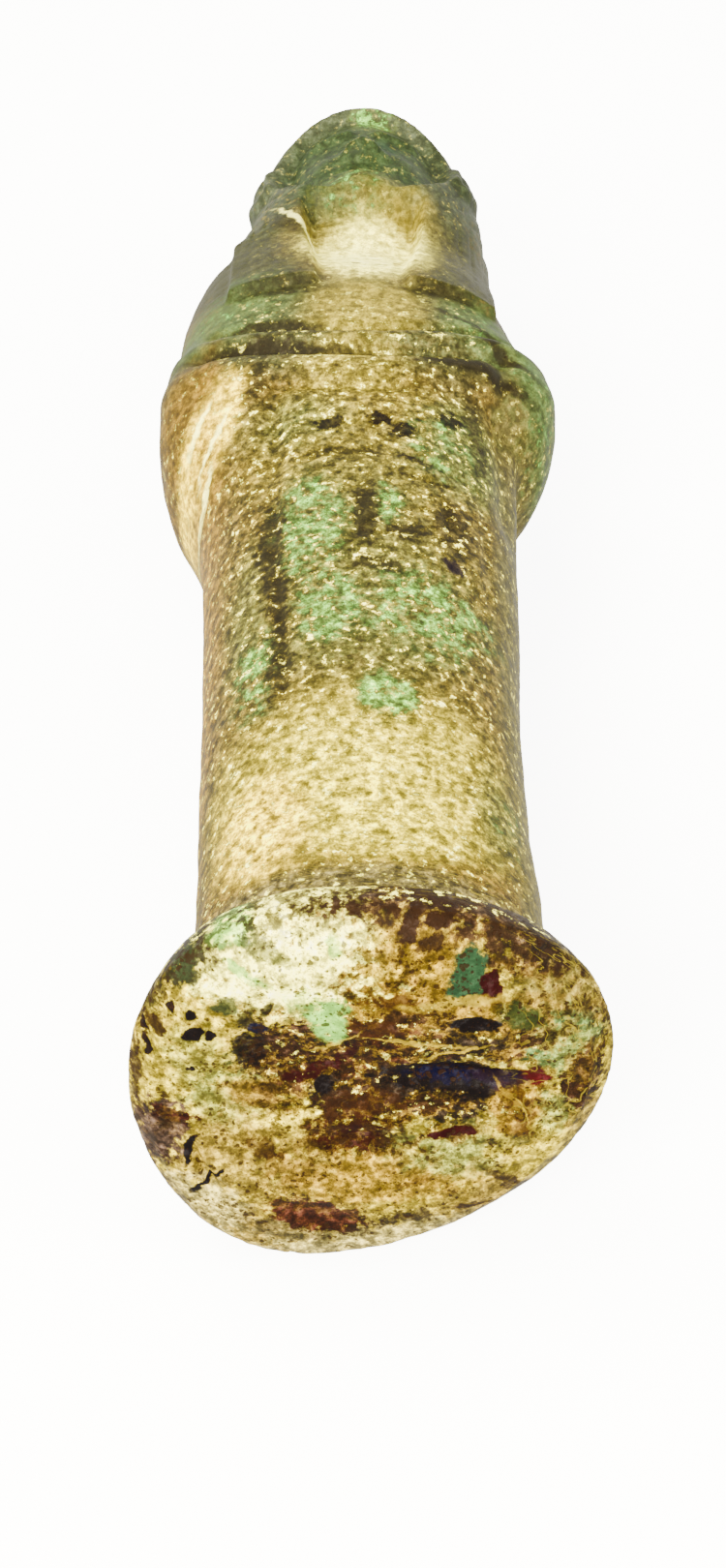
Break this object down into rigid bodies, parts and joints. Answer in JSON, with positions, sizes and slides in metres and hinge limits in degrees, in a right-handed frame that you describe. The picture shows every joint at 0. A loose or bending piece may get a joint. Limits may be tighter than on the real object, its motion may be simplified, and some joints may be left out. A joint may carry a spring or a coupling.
{
  "type": "glazed ceramic ushabti figurine",
  "caption": "Worn glazed mummy-shaped funerary figurine in a long wig, arms crossed, feet joined on a rounded sole, lying on its back.",
  "frame": {"origin": "on the table, under the middle of the lying figurine's box", "axes": "+X to the right seen from the feet, +Y from the sole to the crown, +Z out of the chest"},
  "size_m": [0.0316, 0.125, 0.0276],
  "materials": {
    "glaze": "worn glossy glaze, ochre to grey-green with turquoise and brown patches"
  },
  "bodies": {
    "root": {"figurine_body": "glaze"}
  },
  "joints": []
}
